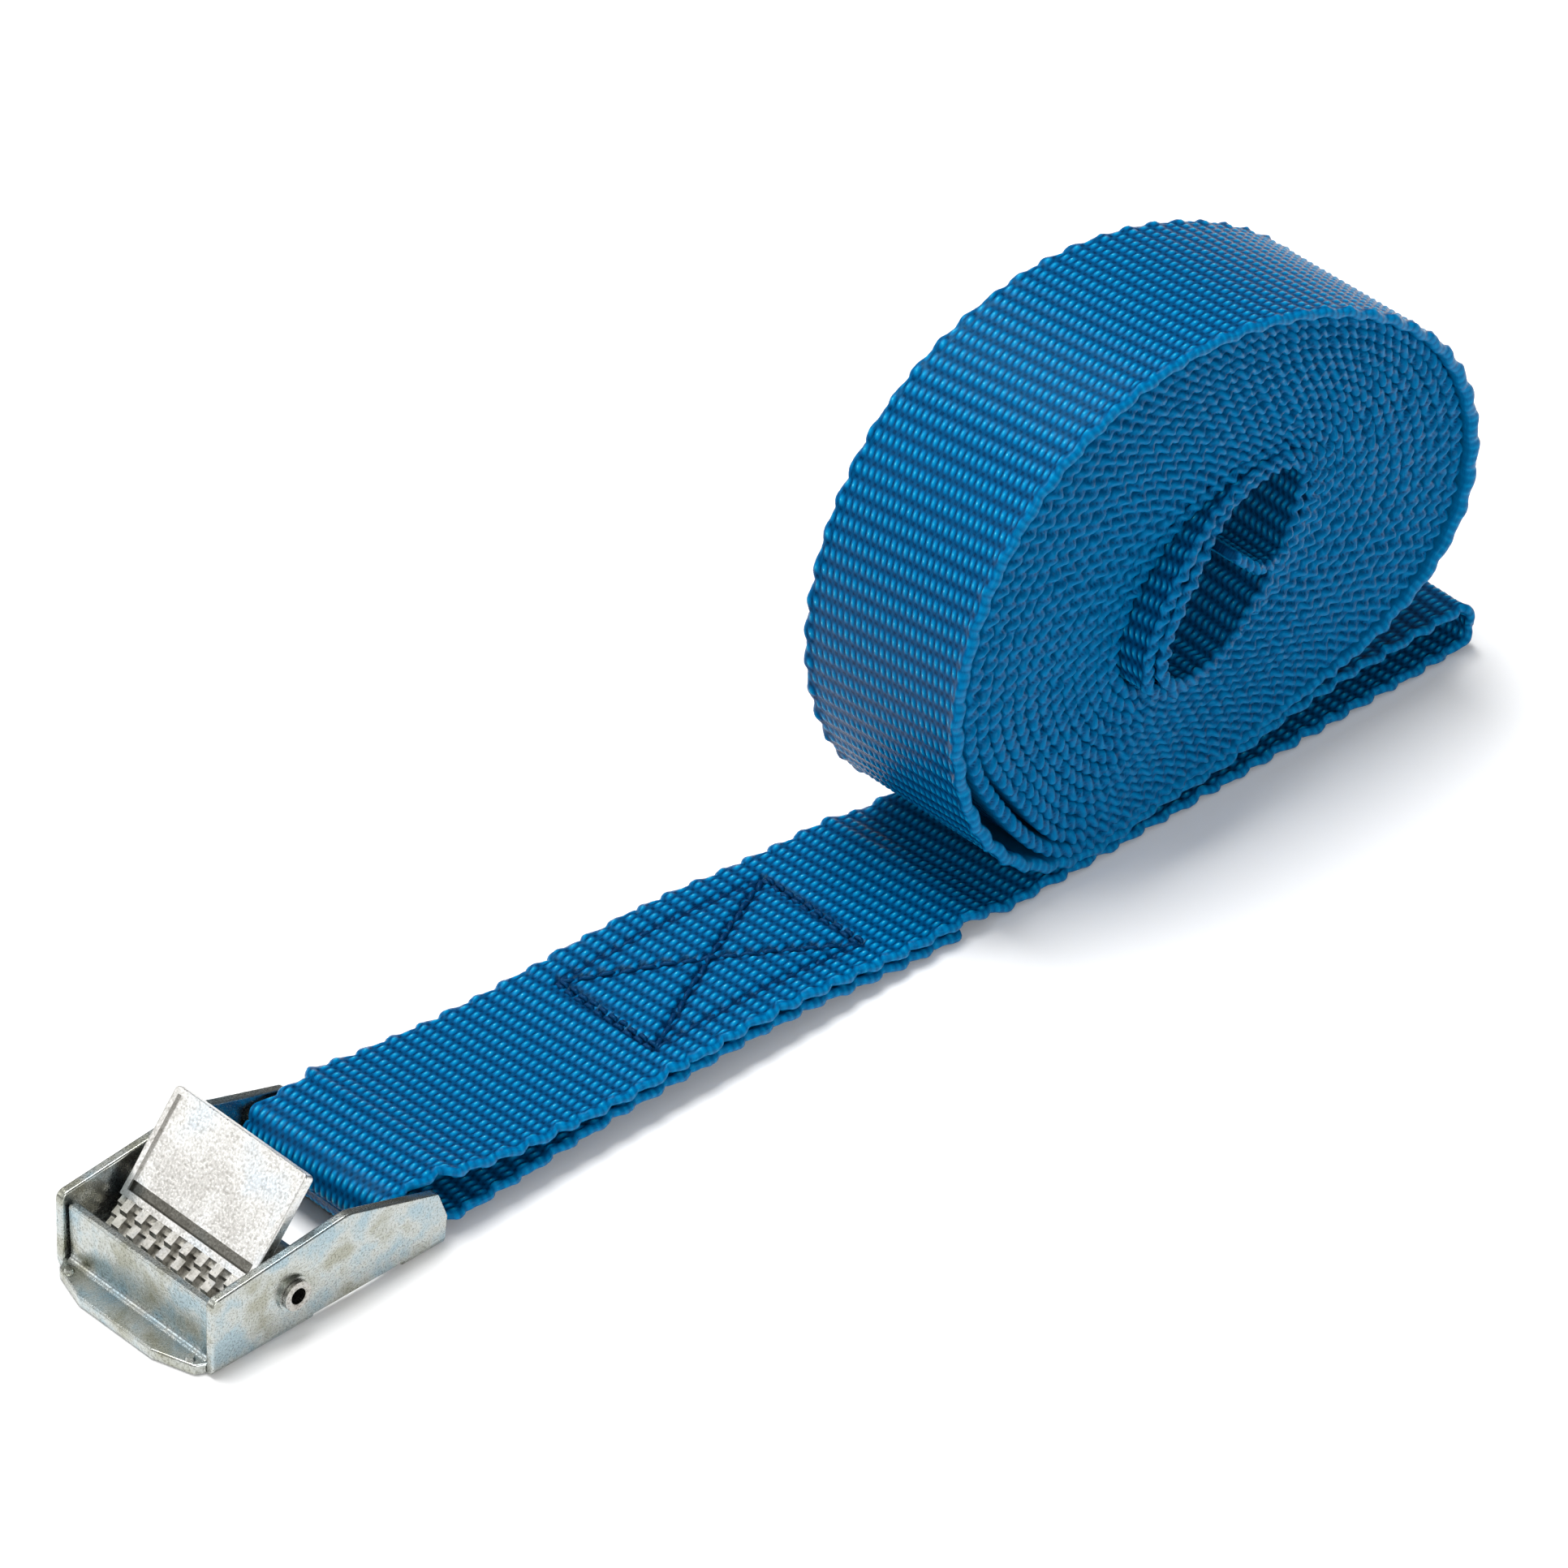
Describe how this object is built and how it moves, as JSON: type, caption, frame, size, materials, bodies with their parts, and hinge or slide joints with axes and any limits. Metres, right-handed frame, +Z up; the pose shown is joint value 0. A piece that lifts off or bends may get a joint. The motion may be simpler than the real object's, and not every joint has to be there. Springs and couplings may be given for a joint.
{
  "type": "cam buckle lashing strap",
  "caption": "Lashing strap of woven webbing, rolled up on edge, with one end sewn round the rear bar of a pressed steel buckle that has a spring-loaded toothed cam.",
  "frame": {"origin": "on the surface that the strap lies on, at the middle of the front edges of the buckle's side walls", "axes": "+X from the buckle along the strap to the roll, +Y across the webbing, +Z up"},
  "size_m": [0.1957, 0.0278, 0.0632],
  "materials": {
    "plated_sheet": "bright zinc plated, satin",
    "die_cast_zinc": "tumbled and plated die casting, satin",
    "rivet_steel": "plated, bright",
    "spring_wire": "drawn wire",
    "webbing": "woven polyester, slight sheen",
    "sewing_thread": "twisted polyester thread"
  },
  "bodies": {
    "strap": {"strap_coil": "webbing", "strap_floor_run": "webbing", "strap_fold": "webbing", "strap_loop": "webbing", "strap_sewn_tail": "webbing", "strap_top_layer": "webbing", "thread_top_end_front": "sewing_thread", "thread_top_end_rear": "sewing_thread", "thread_top_side_far": "sewing_thread", "thread_top_side_near": "sewing_thread", "thread_top_stroke_front": "sewing_thread", "thread_top_stroke_long": "sewing_thread", "thread_top_stroke_rear": "sewing_thread", "thread_under_end_front": "sewing_thread", "thread_under_end_rear": "sewing_thread", "thread_under_side_far": "sewing_thread", "thread_under_side_near": "sewing_thread", "thread_under_stroke_front": "sewing_thread", "thread_under_stroke_long": "sewing_thread", "thread_under_stroke_rear": "sewing_thread"},
    "buckle": {"base_cross_strip": "plated_sheet", "front_ledge": "plated_sheet", "front_wall": "plated_sheet", "hollow_rivet": "rivet_steel", "rear_bar": "plated_sheet", "rear_strip": "plated_sheet", "side_wall_far": "plated_sheet", "side_wall_near": "plated_sheet", "spring_base_leg": "spring_wire", "spring_coil": "spring_wire"},
    "lever": {"thumb_plate": "die_cast_zinc", "cam_barrel": "die_cast_zinc", "spring_lever_leg": "spring_wire"}
  },
  "joints": [
    {"name": "buckle_swing", "type": "hinge", "parent": "strap", "child": "buckle", "pos_m": [0.028, 0, 0.00505], "axis": [0, 1, 0], "range_deg": [0, 35]},
    {"name": "cam_lever", "type": "hinge", "parent": "buckle", "child": "lever", "pos_m": [0.0114, 0, 0.0054], "axis": [0, 1, 0], "range_deg": [0, 45], "stiffness_Nm_per_rad": 0.02, "springref_deg": -20.05}
  ]
}
